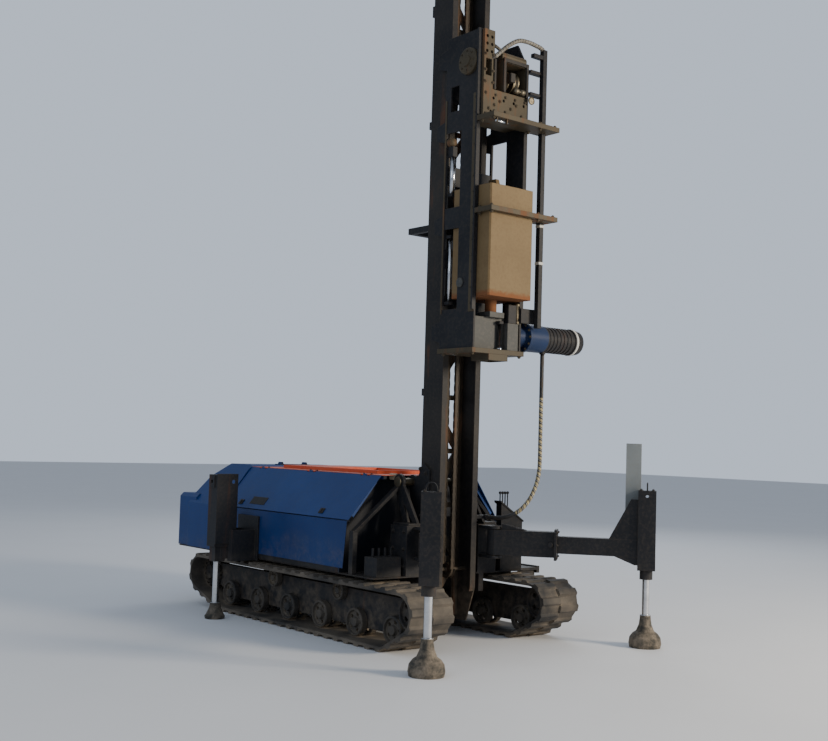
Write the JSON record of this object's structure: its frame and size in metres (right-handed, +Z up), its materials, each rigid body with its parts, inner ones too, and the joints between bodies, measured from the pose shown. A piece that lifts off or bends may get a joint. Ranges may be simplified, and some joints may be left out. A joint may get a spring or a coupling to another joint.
{
  "type": "tracked pile driver rig",
  "caption": "Tracked pile driver rig with a hinged two-post mast, a sliding hammer carriage, a drop ram, swinging outriggers and leg jacks.",
  "frame": {"origin": "middle of the machine's footprint on the ground, under the middle of its overall length and width", "axes": "+X forward to the mast, +Y to the machine's left, +Z up along the upright mast"},
  "size_m": [5.1152, 2.9652, 6.85],
  "materials": {
    "black_steel": "worn semi-matt black paint",
    "blue_paint": "satin deep blue paint",
    "red_paint": "satin orange-red paint",
    "bare_steel": "brown oxidised steel",
    "chrome": "hard chrome rod",
    "rubber": "dusty black rubber",
    "hose": "yellow spiral wrap over black hoses",
    "grey_steel": "grey galvanised steel"
  },
  "bodies": {
    "chassis": {"chassis_frame": "black_steel", "track_frames": "black_steel", "track_left": "rubber", "track_right": "rubber", "drive_sprockets": "black_steel", "idlers": "black_steel", "road_wheels": "rubber", "hood_shell": "blue_paint", "hood_roof": "red_paint", "rear_housing": "blue_paint", "engine_block": "black_steel", "operator_platform": "black_steel", "lever_console": "black_steel", "valve_block": "black_steel", "mast_trestles": "black_steel", "pivot_pin": "grey_steel", "mast_cradle": "blue_paint", "rear_jack_left": "black_steel", "rear_jack_right": "black_steel"},
    "mast": {"mast_posts": "black_steel", "mast_lattice": "black_steel", "mast_crown": "black_steel", "mast_bracket": "black_steel", "mast_rest": "black_steel", "hose_anchor": "black_steel", "lift_chain": "black_steel", "hose_bundle": "hose"},
    "carriage": {"carriage_frame": "black_steel", "flange_plates": "black_steel", "front_posts": "black_steel", "head_frame": "black_steel", "head_sheave": "black_steel", "lift_motor": "grey_steel", "drive_head": "grey_steel", "gearbox": "blue_paint", "drive_motor": "black_steel"},
    "ram": {"ram": "bare_steel"},
    "tilt_barrel": {"tilt_barrel": "black_steel"},
    "tilt_rod": {"tilt_rod": "chrome"},
    "hatch_left": {"hatch_left": "blue_paint"},
    "hatch_right": {"hatch_right": "blue_paint"},
    "arm_left": {"outrigger_arm_left": "black_steel"},
    "beam_left": {"outrigger_beam_left": "black_steel", "ground_plate": "grey_steel"},
    "front_leg_left": {"front_leg_left": "chrome"},
    "rear_leg_left": {"rear_leg_left": "grey_steel"},
    "arm_right": {"outrigger_arm_right": "black_steel"},
    "beam_right": {"outrigger_beam_right": "black_steel"},
    "front_leg_right": {"front_leg_right": "chrome"},
    "rear_leg_right": {"rear_leg_right": "grey_steel"}
  },
  "joints": [
    {"name": "mast_tilt", "type": "hinge", "parent": "chassis", "child": "mast", "pos_m": [0.84245, 0, 1.47], "axis": [0, 1, 0], "range_deg": [-82, 4]},
    {"name": "tilt_swing", "type": "hinge", "parent": "chassis", "child": "tilt_barrel", "pos_m": [0.00245, 0, 0.72], "axis": [0, 1, 0], "range_deg": [-11.62, 0.76]},
    {"name": "tilt_extend", "type": "slide", "parent": "tilt_barrel", "child": "tilt_rod", "axis": [0.9602, 0, 0.2791], "range_m": [-0.032, 0.6165]},
    {"name": "carriage_slide", "type": "slide", "parent": "mast", "child": "carriage", "axis": [0, 0, 1], "range_m": [-1.6, 0.85], "deforming": ["hose_bundle"]},
    {"name": "ram_lift", "type": "slide", "parent": "carriage", "child": "ram", "axis": [0, 0, 1], "range_m": [0, 0.45]},
    {"name": "hatch_left_open", "type": "hinge", "parent": "chassis", "child": "hatch_left", "pos_m": [-0.09755, 0.6, 1.527], "axis": [1, 0, 0], "range_deg": [0, 80]},
    {"name": "hatch_right_open", "type": "hinge", "parent": "chassis", "child": "hatch_right", "pos_m": [-0.09755, -0.6, 1.527], "axis": [-1, 0, 0], "range_deg": [0, 80]},
    {"name": "arm_left_swing", "type": "hinge", "parent": "chassis", "child": "arm_left", "pos_m": [1.30245, 0.405, 0.915], "axis": [0, 0, 1], "range_deg": [-32, 28]},
    {"name": "beam_left_extend", "type": "slide", "parent": "arm_left", "child": "beam_left", "axis": [0.766, 0.6428, 0], "range_m": [-0.23, 0.23]},
    {"name": "front_leg_left_lift", "type": "slide", "parent": "beam_left", "child": "front_leg_left", "axis": [0, 0, 1], "range_m": [-0.12, 0.3]},
    {"name": "rear_leg_left_lift", "type": "slide", "parent": "chassis", "child": "rear_leg_left", "axis": [0, 0, 1], "range_m": [-0.12, 0.25]},
    {"name": "arm_right_swing", "type": "hinge", "parent": "chassis", "child": "arm_right", "pos_m": [1.30245, -0.405, 0.915], "axis": [0, 0, -1], "range_deg": [-32, 28]},
    {"name": "beam_right_extend", "type": "slide", "parent": "arm_right", "child": "beam_right", "axis": [0.766, -0.6428, 0], "range_m": [-0.23, 0.23]},
    {"name": "front_leg_right_lift", "type": "slide", "parent": "beam_right", "child": "front_leg_right", "axis": [0, 0, 1], "range_m": [-0.12, 0.3]},
    {"name": "rear_leg_right_lift", "type": "slide", "parent": "chassis", "child": "rear_leg_right", "axis": [0, 0, 1], "range_m": [-0.12, 0.25]}
  ],
  "couplings": [
    {"joint": "tilt_swing", "follows": "mast_tilt", "ratio": 0.13923},
    {"joint": "tilt_extend", "follows": "mast_tilt", "m_per_rad": -0.42935}
  ]
}
